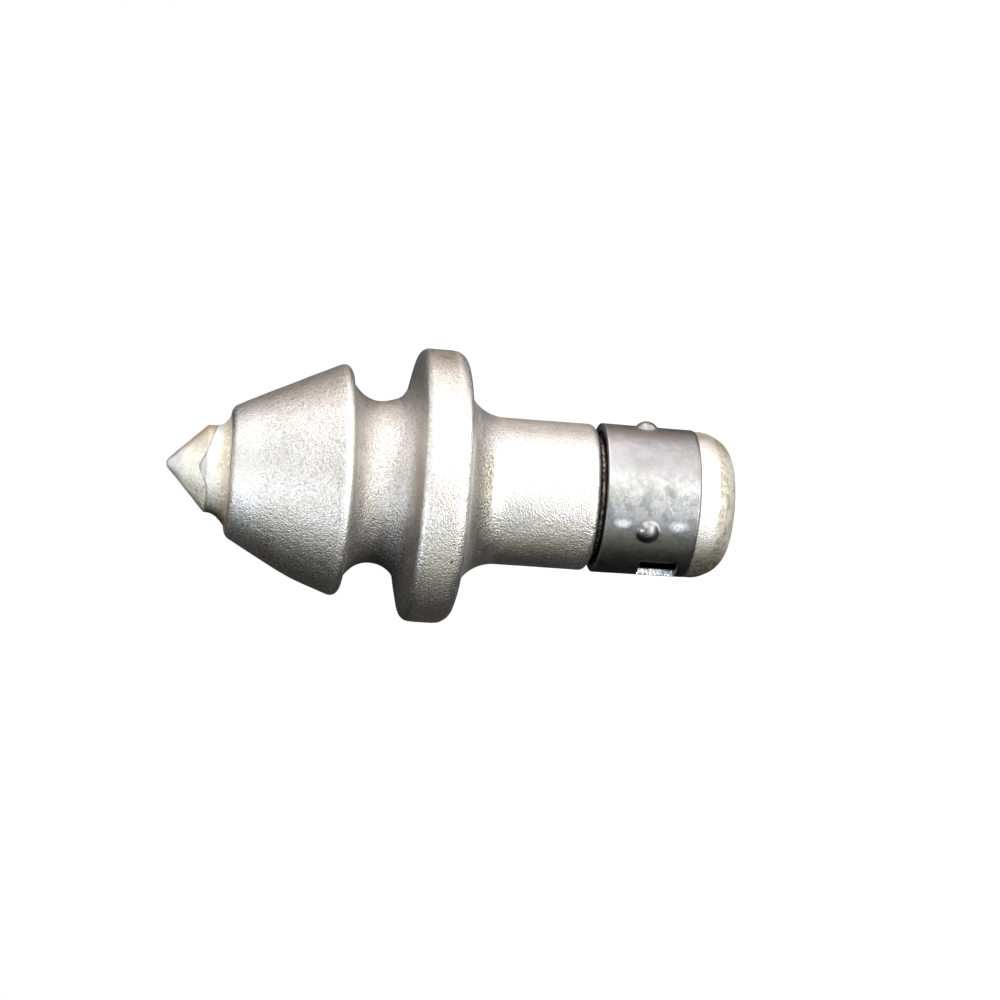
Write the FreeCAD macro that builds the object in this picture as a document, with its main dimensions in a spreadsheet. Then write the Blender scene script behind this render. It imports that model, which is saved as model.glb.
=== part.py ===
import FreeCAD, Part
import math
import os
import Sketcher
from FreeCAD import Placement, Rotation, Vector

# Round-shank auger tooth for rock drilling: a forged steel body that carries a
# brazed carbide point, and a rolled spring sleeve that turns on its neck.
# The tooth stands on its end knob with the point up. The origin is the centre
# of the end face, and +Z runs along the tooth's axis.

DRIVING_DIMENSIONS = [
    # Steel body, from the end face up
    ("knob_diameter", 30.0),
    ("knob_length", 8.5),
    ("knob_taper_length", 5.8),
    ("knob_taper_round", 7.0),
    ("knob_end_diameter", 24.4),
    ("knob_end_round", 6.6),
    ("neck_diameter", 25.0),
    ("neck_length", 20.3),
    ("neck_root_round", 0.8),
    ("shank_diameter", 30.0),
    ("shank_length", 27.2),
    ("shank_end_round", 1.6),
    ("shank_root_round", 8.6),
    ("collar_diameter", 55.7),
    ("collar_rim_length", 9.5),
    ("collar_rear_round", 2.6),
    ("collar_front_round", 1.9),
    ("groove_wall_rise", 2.6),
    ("groove_length", 10.8),
    ("groove_floor_diameter", 32.9),
    ("groove_front_round", 6.1),
    ("groove_back_round", 5.5),
    ("head_base_diameter", 48.1),
    ("head_length", 23.9),
    ("head_front_diameter", 26.1),
    ("head_curve_radius", 165.0),
    ("head_base_round", 1.2),
    ("head_front_round", 2.2),
    ("socket_depth", 9.0),
    # Carbide tip and the braze that holds it
    ("tip_diameter", 17.8),
    ("tip_straight_length", 4.4),
    ("tip_half_angle", 45.0),
    ("tip_point_round", 1.4),
    ("tip_shoulder_round", 0.4),
    ("tip_base_chamfer", 0.9),
    ("braze_film", 0.2),
    ("braze_bead_diameter", 22.4),
    ("braze_bead_height", 3.0),
    ("braze_bead_hollow", 6.0),
    # Retainer sleeve
    ("sleeve_diameter", 30.4),
    ("sleeve_wall", 1.5),
    ("sleeve_length", 18.9),
    ("sleeve_edge_round", 0.3),
    ("slit_width", 4.5),
    ("slit_turn", 66.5),
    ("dimple_level", 9.8),
    ("dimple_base_diameter", 4.5),
    ("dimple_height", 1.25),
    ("dimple_wall", 1.3),
    ("dimple_step", 103.5),
    ("window_width", 9.2),
    ("window_length", 7.9),
    ("window_margin", 2.1),
    ("window_turn", 198.5),
    ("window_corner_round", 0.6),
]

doc = FreeCAD.newDocument("auger_tooth")
sheet = doc.addObject("Spreadsheet::Sheet", "Dimensions")
for row, (alias, value) in enumerate(DRIVING_DIMENSIONS, start=1):
    sheet.set(f"A{row}", alias)
    sheet.set(f"B{row}", str(value))
    sheet.setAlias(f"B{row}", alias)
doc.recompute()

# Heights along the axis, written from the driving dimensions
NECK_START = "Dimensions.knob_length"
SHANK_START = f"({NECK_START} + Dimensions.neck_length)"
COLLAR_REAR = f"({SHANK_START} + Dimensions.shank_length)"
COLLAR_FRONT = f"({COLLAR_REAR} + Dimensions.collar_rim_length)"
GROOVE_START = f"({COLLAR_FRONT} + Dimensions.groove_wall_rise)"
HEAD_BACK = f"({GROOVE_START} + Dimensions.groove_length)"
HEAD_FRONT = f"({HEAD_BACK} + Dimensions.head_length)"
SOCKET_FLOOR = f"({HEAD_FRONT} - Dimensions.socket_depth)"
TIP_BASE = f"({SOCKET_FLOOR} + Dimensions.braze_film)"
TIP_SHOULDER = f"({HEAD_FRONT} + Dimensions.tip_straight_length)"

# Radii
KNOB_RADIUS = "Dimensions.knob_diameter / 2"
KNOB_END_RADIUS = "Dimensions.knob_end_diameter / 2"
NECK_RADIUS = "Dimensions.neck_diameter / 2"
SHANK_RADIUS = "Dimensions.shank_diameter / 2"
COLLAR_RADIUS = "Dimensions.collar_diameter / 2"
GROOVE_RADIUS = "Dimensions.groove_floor_diameter / 2"
HEAD_BASE_RADIUS = "Dimensions.head_base_diameter / 2"
HEAD_FRONT_RADIUS = "Dimensions.head_front_diameter / 2"
TIP_RADIUS = "Dimensions.tip_diameter / 2"
SOCKET_RADIUS = f"({TIP_RADIUS} + Dimensions.braze_film)"
BEAD_RADIUS = "Dimensions.braze_bead_diameter / 2"
SLEEVE_RADIUS = "Dimensions.sleeve_diameter / 2"
SLEEVE_BORE_RADIUS = f"({SLEEVE_RADIUS} - Dimensions.sleeve_wall)"

# The groove's back round stops short of the rim's round, which takes RIM_REACH of its own radius from the wall
RIM_REACH = 1.7
HEAD_BACK_WALL = f"({HEAD_BASE_RADIUS} - {GROOVE_RADIUS} - {RIM_REACH} * Dimensions.head_base_round)"
GROOVE_BACK_ROUND = f"min(Dimensions.groove_back_round; {HEAD_BACK_WALL})"

ORIGIN = "0"
MATCH = 1e-4


def size(expression):
    """The present value of an expression over the spreadsheet's cells."""
    return float(sheet.evalExpression(expression))


def origin_feature(body, role):
    """The body's own base plane or axis with this role."""
    return next(f for f in body.Origin.OriginFeatures if f.Role == role)


def new_sketch(body, role, name, height=ORIGIN):
    """A sketch on one of the body's base planes, raised by a height."""
    sketch = body.newObject("Sketcher::SketchObject", name)
    sketch.AttachmentSupport = (origin_feature(body, role), [""])
    sketch.MapMode = "FlatFace"
    if height != ORIGIN:
        sketch.setExpression("AttachmentOffset.Base.z", height)
    return sketch


def bind(sketch, constraint, expression):
    """Adds a dimension to a sketch and ties it to the spreadsheet."""
    index = sketch.addConstraint(constraint)
    sketch.setExpression(f"Constraints[{index}]", expression)


class Outline:
    """A closed outline whose corners are placed by expressions.

    The corner coordinates are the sketch's horizontal and vertical distances
    from its origin. Edges are lines, or arcs of a given radius that bend to
    the left or right of the direction of travel.
    """

    def __init__(self, sketch, across, up):
        self.sketch = sketch
        self.start = (across, up)
        self.here = self.start
        self.last = None
        self.first = None

    def _point(self, corner):
        return Vector(size(corner[0]), size(corner[1]), 0)

    def _pin(self, geometry, end, corner):
        for across, axis, expression in (("DistanceX", -2, corner[0]), ("DistanceY", -1, corner[1])):
            if expression == ORIGIN:
                self.sketch.addConstraint(Sketcher.Constraint("PointOnObject", geometry, end, axis))
            else:
                value = size(expression)
                bind(self.sketch, Sketcher.Constraint(across, -1, 1, geometry, end, value), expression)

    def _join(self, geometry, tail, head, corner, closing):
        if self.last is None:
            self._pin(geometry, tail, self.here)
            self.first = (geometry, tail)
        else:
            self.sketch.addConstraint(Sketcher.Constraint("Coincident", *self.last, geometry, tail))
        if closing:
            self.sketch.addConstraint(Sketcher.Constraint("Coincident", geometry, head, *self.first))
        else:
            self._pin(geometry, head, corner)
        self.last = (geometry, head)
        self.here = corner

    def line(self, across, up):
        corner = (across, up)
        edge = Part.LineSegment(self._point(self.here), self._point(corner))
        self._join(self.sketch.addGeometry(edge, False), 1, 2, corner, closing=False)

    def arc(self, across, up, radius, bend):
        """An arc to a corner; bend is "left" or "right" of the way there."""
        corner = (across, up)
        begin, finish, reach = self._point(self.here), self._point(corner), size(radius)
        chord = finish - begin
        side = Vector(-chord.y, chord.x, 0).normalize() * (1 if bend == "right" else -1)
        away = math.sqrt(reach**2 - (chord.Length / 2) ** 2)
        centre = begin + chord / 2 + side * away
        turns = [math.atan2(p.y - centre.y, p.x - centre.x) for p in (begin, finish)]
        tail, head = (1, 2) if bend == "right" else (2, 1)
        if bend == "left":
            turns.reverse()
        edge = Part.ArcOfCircle(Part.Circle(centre, Vector(0, 0, 1), reach), *turns)
        geometry = self.sketch.addGeometry(edge, False)
        self._join(geometry, tail, head, corner, closing=False)
        bind(self.sketch, Sketcher.Constraint("Radius", geometry, reach), radius)

    def close(self):
        edge = Part.LineSegment(self._point(self.here), self._point(self.start))
        self._join(self.sketch.addGeometry(edge, False), 1, 2, self.start, closing=True)


def revolve(body, sketch, name):
    """Turns a half outline about the body's vertical axis."""
    turned = body.newObject("PartDesign::Revolution", name)
    turned.Profile = sketch
    turned.ReferenceAxis = (origin_feature(body, "Z_Axis"), [""])
    turned.Angle = 360
    doc.recompute()
    return turned


def circle_edges(feature, places):
    """Names of the feature's circular edges at (radius, height) places."""
    names = []
    for index, edge in enumerate(feature.Shape.Edges, start=1):
        if edge.Degenerated or not isinstance(edge.Curve, Part.Circle):
            continue
        centre = edge.Curve.Center
        for radius, height in places:
            if (
                abs(edge.Curve.Radius - size(radius)) < MATCH
                and abs(centre.z - size(height)) < MATCH
                and math.hypot(centre.x, centre.y) < MATCH
            ):
                names.append(f"Edge{index}")
    return names


def round_edges(body, name, feature, edges, radius):
    """Rounds the named edges of a feature."""
    if not edges:
        raise RuntimeError(f"{name} found no edge to round")
    rounded = body.newObject("PartDesign::Fillet", name)
    rounded.Base = (feature, edges)
    rounded.setExpression("Radius", radius)
    doc.recompute()
    return rounded


def make_tooth_body():
    """The one-piece steel body: knob, neck, shank, collar, groove and head."""
    body = doc.addObject("PartDesign::Body", "ToothBody")
    body.Label = "tooth_body"
    sketch = new_sketch(body, "XZ_Plane", "BodyProfile")
    outline = Outline(sketch, ORIGIN, ORIGIN)
    outline.line(KNOB_END_RADIUS, ORIGIN)
    outline.line(KNOB_RADIUS, "Dimensions.knob_taper_length")
    outline.line(KNOB_RADIUS, NECK_START)
    outline.line(NECK_RADIUS, NECK_START)
    outline.line(NECK_RADIUS, SHANK_START)
    outline.line(SHANK_RADIUS, SHANK_START)
    outline.line(SHANK_RADIUS, COLLAR_REAR)
    outline.line(COLLAR_RADIUS, COLLAR_REAR)
    outline.line(COLLAR_RADIUS, COLLAR_FRONT)
    outline.line(GROOVE_RADIUS, GROOVE_START)
    outline.line(GROOVE_RADIUS, HEAD_BACK)
    outline.line(HEAD_BASE_RADIUS, HEAD_BACK)
    outline.arc(HEAD_FRONT_RADIUS, HEAD_FRONT, "Dimensions.head_curve_radius", "right")
    outline.line(SOCKET_RADIUS, HEAD_FRONT)
    outline.line(SOCKET_RADIUS, SOCKET_FLOOR)
    outline.line(ORIGIN, SOCKET_FLOOR)
    outline.close()
    shape = revolve(body, sketch, "BodyForm")
    rounds = [
        ("KnobTaperRound", "Dimensions.knob_taper_round", [(KNOB_RADIUS, "Dimensions.knob_taper_length")]),
        ("KnobEndRound", "Dimensions.knob_end_round", [(KNOB_END_RADIUS, ORIGIN)]),
        ("NeckRootRound", "Dimensions.neck_root_round", [(NECK_RADIUS, NECK_START), (NECK_RADIUS, SHANK_START)]),
        ("ShankEndRound", "Dimensions.shank_end_round", [(SHANK_RADIUS, SHANK_START)]),
        ("ShankRootRound", "Dimensions.shank_root_round", [(SHANK_RADIUS, COLLAR_REAR)]),
        ("CollarRearRound", "Dimensions.collar_rear_round", [(COLLAR_RADIUS, COLLAR_REAR)]),
        ("CollarFrontRound", "Dimensions.collar_front_round", [(COLLAR_RADIUS, COLLAR_FRONT)]),
        ("GrooveFrontRound", "Dimensions.groove_front_round", [(GROOVE_RADIUS, GROOVE_START)]),
        ("GrooveBackRound", GROOVE_BACK_ROUND, [(GROOVE_RADIUS, HEAD_BACK)]),
        ("HeadBaseRound", "Dimensions.head_base_round", [(HEAD_BASE_RADIUS, HEAD_BACK)]),
        ("HeadFrontRound", "Dimensions.head_front_round", [(HEAD_FRONT_RADIUS, HEAD_FRONT)]),
    ]
    for name, radius, places in rounds:
        shape = round_edges(body, name, shape, circle_edges(shape, places), radius)
    return body


def make_carbide_tip():
    """The carbide point: a straight stub in the socket and a blunt cone."""
    body = doc.addObject("PartDesign::Body", "CarbideTip")
    body.Label = "carbide_tip"
    slope = "(Dimensions.tip_half_angle * 1 deg)"
    point_radius = f"Dimensions.tip_point_round * cos{slope}"
    cone_height = f"({TIP_RADIUS} - {point_radius}) / tan{slope}"
    cone_end = f"({TIP_SHOULDER} + {cone_height})"
    apex = f"({cone_end} + Dimensions.tip_point_round * (1 - sin{slope}))"
    chamfer_radius = f"({TIP_RADIUS} - Dimensions.tip_base_chamfer)"
    chamfer_height = f"({TIP_BASE} + Dimensions.tip_base_chamfer)"
    sketch = new_sketch(body, "XZ_Plane", "TipProfile")
    outline = Outline(sketch, ORIGIN, TIP_BASE)
    outline.line(chamfer_radius, TIP_BASE)
    outline.line(TIP_RADIUS, chamfer_height)
    outline.line(TIP_RADIUS, TIP_SHOULDER)
    outline.line(point_radius, cone_end)
    outline.arc(ORIGIN, apex, "Dimensions.tip_point_round", "right")
    outline.close()
    shape = revolve(body, sketch, "TipForm")
    shoulder = circle_edges(shape, [(TIP_RADIUS, TIP_SHOULDER)])
    round_edges(body, "ShoulderRound", shape, shoulder, "Dimensions.tip_shoulder_round")
    return body


def make_braze_joint():
    """The braze: a film round and under the tip, and the bead it ends in."""
    body = doc.addObject("PartDesign::Body", "BrazeJoint")
    body.Label = "braze_joint"
    chamfer_radius = f"({TIP_RADIUS} - Dimensions.tip_base_chamfer)"
    chamfer_height = f"({TIP_BASE} + Dimensions.tip_base_chamfer)"
    bead_top = f"({HEAD_FRONT} + Dimensions.braze_bead_height)"
    sketch = new_sketch(body, "XZ_Plane", "BrazeProfile")
    outline = Outline(sketch, ORIGIN, SOCKET_FLOOR)
    outline.line(SOCKET_RADIUS, SOCKET_FLOOR)
    outline.line(SOCKET_RADIUS, HEAD_FRONT)
    outline.line(BEAD_RADIUS, HEAD_FRONT)
    outline.arc(TIP_RADIUS, bead_top, "Dimensions.braze_bead_hollow", "left")
    outline.line(TIP_RADIUS, chamfer_height)
    outline.line(chamfer_radius, TIP_BASE)
    outline.line(ORIGIN, TIP_BASE)
    outline.close()
    revolve(body, sketch, "BrazeForm")
    return body


def add_circle(sketch, radius):
    """A circle about the sketch's origin."""
    circle = sketch.addGeometry(Part.Circle(Vector(0, 0, 0), Vector(0, 0, 1), size(radius)), False)
    sketch.addConstraint(Sketcher.Constraint("Coincident", circle, 3, -1, 1))
    bind(sketch, Sketcher.Constraint("Radius", circle, size(radius)), radius)


def add_sector(sketch, width, turn):
    """A wedge from the origin, as wide as a strip's cut where it meets the wall.

    The strip is cut flat and then rolled, so the two sides of a cut end up
    radial. The wedge points at a turn in degrees from +X.
    """
    middle_radius = f"({SLEEVE_RADIUS} - Dimensions.sleeve_wall / 2)"
    half = f"({width} / (2 * {middle_radius}) * 1 rad)"
    reach = f"({SLEEVE_RADIUS} + Dimensions.dimple_height)"
    corners = []
    for sign in ("-", "+"):
        heading = f"({turn} * 1 deg {sign} {half})"
        corners.append((f"{reach} * cos{heading}", f"{reach} * sin{heading}"))
    outline = Outline(sketch, ORIGIN, ORIGIN)
    outline.line(*corners[0])
    outline.line(*corners[1])
    outline.close()


def new_pattern(body, feature, name):
    """Repeats a feature for the three dimples, one step apart."""
    pattern = body.newObject("PartDesign::PolarPattern", name)
    pattern.Originals = [feature]
    pattern.Axis = (origin_feature(body, "Z_Axis"), [""])
    pattern.Occurrences = 3
    pattern.setExpression("Angle", "2 * Dimensions.dimple_step")
    body.Tip = pattern
    doc.recompute()
    return pattern


def new_ball(body, kind, name, radius, distance, height):
    """A ball on the sketch plane's +X side, added to or taken from a body."""
    ball = body.newObject(kind, name)
    ball.AttachmentSupport = (origin_feature(body, "XY_Plane"), [""])
    ball.MapMode = "FlatFace"
    ball.setExpression("AttachmentOffset.Base.x", distance)
    ball.setExpression("AttachmentOffset.Base.z", height)
    ball.setExpression("Radius", radius)
    doc.recompute()
    return ball


def pad(body, sketch, name, length):
    """Adds a sketch's outline upwards by a length."""
    feature = body.newObject("PartDesign::Pad", name)
    feature.Profile = sketch
    feature.setExpression("Length", length)
    doc.recompute()
    return feature


def pocket(body, sketch, name, length):
    """Cuts a sketch's outline upwards by a length."""
    before = body.Shape.Volume
    feature = body.newObject("PartDesign::Pocket", name)
    feature.Profile = sketch
    feature.Reversed = True
    feature.setExpression("Length", length)
    doc.recompute()
    if feature.Shape.Volume >= before:
        raise RuntimeError(f"{name} cut nothing")
    return feature


def make_retainer_sleeve():
    """The rolled spring sleeve: slit, three pressed dimples and one window.

    The body's local +X is the first dimple. Its placement turns the slit to
    its own side of the tooth, and the middle dimple lies opposite the slit.
    """
    body = doc.addObject("PartDesign::Body", "RetainerSleeve")
    body.Label = "retainer_sleeve"
    height = "Dimensions.sleeve_length"
    first_dimple = "(Dimensions.slit_turn + 180 - Dimensions.dimple_step)"
    base_reach = "Dimensions.dimple_base_diameter^2 / (4 * Dimensions.dimple_height)"
    ball_radius = f"(({base_reach} + Dimensions.dimple_height) / 2)"
    ball_distance = f"{SLEEVE_RADIUS} + Dimensions.dimple_height - {ball_radius}"

    blank = new_sketch(body, "XY_Plane", "Blank")
    add_circle(blank, SLEEVE_RADIUS)
    shape = pad(body, blank, "Tube", height)
    rims = circle_edges(shape, [(SLEEVE_RADIUS, ORIGIN), (SLEEVE_RADIUS, height)])
    round_edges(body, "RimRound", shape, rims, "Dimensions.sleeve_edge_round")
    level = "Dimensions.dimple_level"
    adder = "PartDesign::AdditiveSphere"
    bump = new_ball(body, adder, "DimpleOutside", ball_radius, ball_distance, level)
    new_pattern(body, bump, "DimplesOutside")

    bore = new_sketch(body, "XY_Plane", "BoreOutline")
    add_circle(bore, SLEEVE_BORE_RADIUS)
    pocket(body, bore, "Bore", height)
    hollow_radius = f"{ball_radius} - Dimensions.dimple_wall"
    cutter = "PartDesign::SubtractiveSphere"
    hollow = new_ball(body, cutter, "DimpleInside", hollow_radius, ball_distance, level)
    new_pattern(body, hollow, "DimplesInside")

    slit = new_sketch(body, "XY_Plane", "SlitOutline")
    add_sector(slit, "Dimensions.slit_width", f"(Dimensions.slit_turn - {first_dimple})")
    pocket(body, slit, "Slit", height)

    window = new_sketch(body, "XY_Plane", "WindowOutline", "Dimensions.window_margin")
    add_sector(window, "Dimensions.window_width", f"(Dimensions.window_turn - {first_dimple})")
    cut = pocket(body, window, "Window", "Dimensions.window_length")
    round_edges(body, "WindowCorners", cut, window_corners(cut), "Dimensions.window_corner_round")

    placed = Placement(Vector(0, 0, size(NECK_START)), Rotation(Vector(0, 0, 1), size(first_dimple)))
    body.Placement = placed
    body.setExpression("Placement.Base.z", NECK_START)
    body.setExpression("Placement.Rotation.Angle", f"{first_dimple} * 1 deg")
    doc.recompute()
    return body


def window_corners(feature):
    """The four short radial edges at the corners of the window."""
    levels = [size("Dimensions.window_margin"), size("Dimensions.window_margin + Dimensions.window_length")]
    wall = size("Dimensions.sleeve_wall")
    names = []
    for index, edge in enumerate(feature.Shape.Edges, start=1):
        middle = edge.CenterOfMass
        flat = any(abs(middle.z - level) < MATCH for level in levels)
        if flat and isinstance(edge.Curve, Part.Line) and abs(edge.Length - wall) < MATCH:
            names.append(f"Edge{index}")
    return names


def check_document():
    """Stops on any failed object, open sketch or bad solid."""
    for item in doc.Objects:
        if {"Invalid", "Error"} & set(item.State):
            raise RuntimeError(f"{item.Name} failed: {item.State}")
        if item.TypeId == "Sketcher::SketchObject" and not item.FullyConstrained:
            raise RuntimeError(f"{item.Name} is not fully constrained")


def export(bodies):
    """Writes each sub-part's solid to parts/LABEL.step."""
    os.makedirs("parts", exist_ok=True)
    for body in bodies:
        shape = body.Shape
        if shape.isNull() or not shape.isValid() or len(shape.Solids) != 1:
            raise RuntimeError(f"{body.Label} is not one valid solid")
        shape.exportStep(os.path.join("parts", f"{body.Label}.step"))
        print(f"{body.Label}: {shape.Volume:.1f} cubic mm")


sub_parts = [make_tooth_body(), make_carbide_tip(), make_braze_joint(), make_retainer_sleeve()]
doc.recompute()
check_document()
export(sub_parts)
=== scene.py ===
import math

import bpy
import numpy as np
from mathutils import Matrix, Vector, noise


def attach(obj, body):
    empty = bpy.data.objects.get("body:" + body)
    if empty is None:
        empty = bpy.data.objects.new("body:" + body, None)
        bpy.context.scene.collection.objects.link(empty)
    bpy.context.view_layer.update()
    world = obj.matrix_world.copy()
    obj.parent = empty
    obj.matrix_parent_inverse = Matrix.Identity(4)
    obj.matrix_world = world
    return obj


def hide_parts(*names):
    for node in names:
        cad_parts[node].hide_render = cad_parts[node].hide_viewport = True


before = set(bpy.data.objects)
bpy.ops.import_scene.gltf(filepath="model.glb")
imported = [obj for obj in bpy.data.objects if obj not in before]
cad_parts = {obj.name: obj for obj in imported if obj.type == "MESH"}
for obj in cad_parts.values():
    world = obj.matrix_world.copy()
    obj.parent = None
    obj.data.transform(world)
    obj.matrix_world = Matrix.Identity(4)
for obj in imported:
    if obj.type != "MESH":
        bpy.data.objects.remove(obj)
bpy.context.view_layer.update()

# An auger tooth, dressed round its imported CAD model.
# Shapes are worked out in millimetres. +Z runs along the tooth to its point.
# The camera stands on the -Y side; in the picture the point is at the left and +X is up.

MM = 0.001

# The photograph's view, fitted to the tooth's outline
VIEW_LIFT = math.radians(7.7)
VIEW_ROLL = math.radians(4.09)
VIEW_DISTANCE = 0.645
VIEW_TARGET = Vector((-0.00186, 0.0, 0.0471))
FOCAL_PIXELS = 3160.5
PICTURE_PIXELS = 1000
SENSOR_WIDTH = 36.0

# Body
KNOB_RADIUS = 15.0
NECK_RADIUS = 12.5
NECK_START = 8.5
NECK_END = 28.7
SHANK_RADIUS = 15.0
COLLAR_RADIUS = 27.85
COLLAR_BACK = 56.0
COLLAR_FRONT = 65.5
GROOVE_RADIUS = 16.45
GROOVE_START = 68.1
HEAD_RADIUS = 24.05
HEAD_BACK = 78.9
HEAD_FRONT = 102.8
HEAD_FRONT_RADIUS = 13.05
HEAD_BOW = 165.0
HEAD_SIDE_STEPS = 8
SOCKET_RADIUS = 9.1
SOCKET_FLOOR = 93.8


def head_side(count):
    """Points of the head's slightly bowed side, between its back rim and its front rim."""
    back = np.array((HEAD_RADIUS, HEAD_BACK))
    front = np.array((HEAD_FRONT_RADIUS, HEAD_FRONT))
    chord = front - back
    length = np.linalg.norm(chord)
    outward = np.array((chord[1], -chord[0])) / length
    centre = (back + front) / 2 - outward * math.sqrt(HEAD_BOW ** 2 - length ** 2 / 4)
    points = []
    for share in np.linspace(0, 1, count + 1)[1:-1]:
        way = back + chord * share - centre
        radius, height = centre + way * HEAD_BOW / np.linalg.norm(way)
        points.append((radius, height, 0.0))
    return tuple(points)


# The body's outline, walked from the end knob to the socket: radius, height, round
BODY_CORNERS = (
    (0.0, 0.0, 0.0),
    (5.0, 0.0, 8.0),
    (12.35, 0.25, 6.4),
    (KNOB_RADIUS, 5.8, 6.0),
    (KNOB_RADIUS, NECK_START, 0.3),
    (NECK_RADIUS, NECK_START, 0.8),
    (NECK_RADIUS, NECK_END, 0.8),
    (SHANK_RADIUS, NECK_END, 1.5),
    (SHANK_RADIUS, COLLAR_BACK, 8.6),
    (COLLAR_RADIUS, COLLAR_BACK, 2.6),
    (COLLAR_RADIUS, COLLAR_FRONT, 1.9),
    (GROOVE_RADIUS, GROOVE_START, 6.1),
    (GROOVE_RADIUS, HEAD_BACK, 5.8),
    (HEAD_RADIUS, HEAD_BACK, 1.5),
    *head_side(HEAD_SIDE_STEPS),
    (HEAD_FRONT_RADIUS, HEAD_FRONT, 2.2),
    (SOCKET_RADIUS, HEAD_FRONT, 0.0),
    (SOCKET_RADIUS, SOCKET_FLOOR, 0.0),
    (0.0, SOCKET_FLOOR, 0.0),
)

# Hard-metal point and braze
TIP_BASE = 94.0
TIP_RADIUS = 8.75
TIP_SHOULDER = 107.3
CONE_TOP = 115.8
CONE_SPREAD = 1.027
POINT_ROUND = 1.5
TIP_TOP = 115.2
BEAD_FOOT_RADIUS = 11.3
BEAD_SKIN = 0.12

# Sprung sleeve round the neck
SLEEVE_RADIUS = 15.2
SLEEVE_WALL = 1.5
SLEEVE_BOTTOM = NECK_START
SLEEVE_LENGTH = 18.9
SLEEVE_FLARE = 0.07
SLEEVE_SIDESTEP = 0.1
SLIT_WIDTH = 4.5
SLIT_TURN = math.radians(66.5)
WINDOW_WIDTH = 9.7
WINDOW_LENGTH = 7.9
WINDOW_MARGIN = 2.1
WINDOW_SKEW = 0.35
WINDOW_TURN = math.radians(198.5)
DIMPLES = ((350.0, 9.8), (245.5, 10.15), (143.0, 9.8))
DIMPLE_HEIGHT = 1.25
DIMPLE_BALL = 2.65
STRIP_EDGE_ROUND = 0.2
STRIP_CORNER_ROUND = 0.4


def smooth_step(value, low, high):
    """0 up to low, 1 from high, and a smooth rise between."""
    t = np.clip((value - low) / (high - low), 0.0, 1.0)
    return t * t * (3 - 2 * t)


def band(value, rise, fall):
    """1 inside a band that rises and falls over two ranges."""
    return smooth_step(value, *rise) * (1 - smooth_step(value, *fall))


def hump(value, middle, reach):
    """1 at the middle, falling off like a bell."""
    return np.exp(-((value - middle) / reach) ** 2)


def grain(points, size, seed):
    """Smooth noise from -1 to 1 at points in mm, with bumps about as wide as size."""
    shift = Vector((seed * 17.3, seed * 5.1, seed * 9.7))
    return np.array([noise.noise(Vector(point) / size + shift) for point in points])


# Outlines

ARC_TURN = math.radians(9)
ARC_STEP = 0.5


def round_corner(before, corner, after, radius):
    """Points of the tangent arc that replaces a corner."""
    if radius == 0:
        return [corner]
    arriving = np.subtract(corner, before) / np.linalg.norm(np.subtract(corner, before))
    leaving = np.subtract(after, corner) / np.linalg.norm(np.subtract(after, corner))
    side = np.sign(arriving[0] * leaving[1] - arriving[1] * leaving[0])
    turn = math.acos(np.clip(arriving @ leaving, -1, 1))
    start = np.asarray(corner) - arriving * radius * math.tan(turn / 2)
    centre = start + side * radius * np.array((-arriving[1], arriving[0]))
    count = max(3, math.ceil(turn / ARC_TURN), math.ceil(turn * radius / ARC_STEP))
    points = []
    for k in range(count + 1):
        angle = side * turn * k / count
        x, y = start - centre
        turned = (x * math.cos(angle) - y * math.sin(angle), x * math.sin(angle) + y * math.cos(angle))
        points.append(tuple(centre + turned))
    return points


def walk(corners, step):
    """The outline as (radius, height) points no more than a step apart."""
    bends = [corners[0][:2]]
    for before, corner, after in zip(corners, corners[1:], corners[2:]):
        bends.extend(round_corner(before[:2], corner[:2], after[:2], corner[2]))
    bends.append(corners[-1][:2])
    points = [bends[0]]
    for start, end in zip(bends, bends[1:]):
        run = math.dist(start, end)
        if run < 1e-6:
            continue
        count = math.ceil(run / step)
        way = np.array(end) - start
        points.extend(tuple(np.array(start) + way * k / count) for k in range(1, count + 1))
    return np.array(points)


def outline_normals(points):
    """Unit normals that point out of the metal, for an outline walked with the metal on its left."""
    along = np.gradient(points, axis=0)
    normals = np.stack((along[:, 1], -along[:, 0]), axis=1)
    return normals / np.linalg.norm(normals, axis=1)[:, None]


# Meshes

def new_piece(name, points, faces, values=None):
    """A smooth mesh object from points in mm; values are extra numbers for each point, by name."""
    mesh = bpy.data.meshes.new(name)
    mesh.from_pydata([tuple(point) for point in np.asarray(points) * MM], [], faces)
    for key, numbers in (values or {}).items():
        attribute = mesh.attributes.new(key, "FLOAT", "POINT")
        attribute.data.foreach_set("value", np.asarray(numbers, dtype=np.float32))
    mesh.shade_smooth()
    mesh.update()
    piece = bpy.data.objects.new(name, mesh)
    bpy.context.scene.collection.objects.link(piece)
    return piece


def lathe(name, outline, around, move, settle, values=None):
    """Turns an outline that starts and ends on the axis.

    move gives each point's shift along its normal, and settle then slants the whole form.
    """
    turns = np.arange(around) * 2 * math.pi / around
    ring = outline[1:-1]
    normals = outline_normals(outline)[1:-1]
    angle = np.tile(turns, len(ring))
    radius = np.repeat(ring[:, 0], around)
    height = np.repeat(ring[:, 1], around)
    shift = move(angle, radius, height)
    radius = radius + shift * np.repeat(normals[:, 0], around)
    height = height + shift * np.repeat(normals[:, 1], around)
    points = np.vstack((polar(angle, radius, height), (0, 0, outline[0, 1]), (0, 0, outline[-1, 1])))
    points = settle(points)
    start, end = len(points) - 2, len(points) - 1
    faces = []
    for k in range(around):
        after = (k + 1) % around
        faces.append((start, after, k))
        for row in range(len(ring) - 1):
            low = row * around
            high = low + around
            faces.append((low + k, low + after, high + after, high + k))
        last = (len(ring) - 1) * around
        faces.append((last + k, last + after, end))
    extra = {key: make(points) for key, make in (values or {}).items()}
    return new_piece(name, points, faces, extra)


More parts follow.
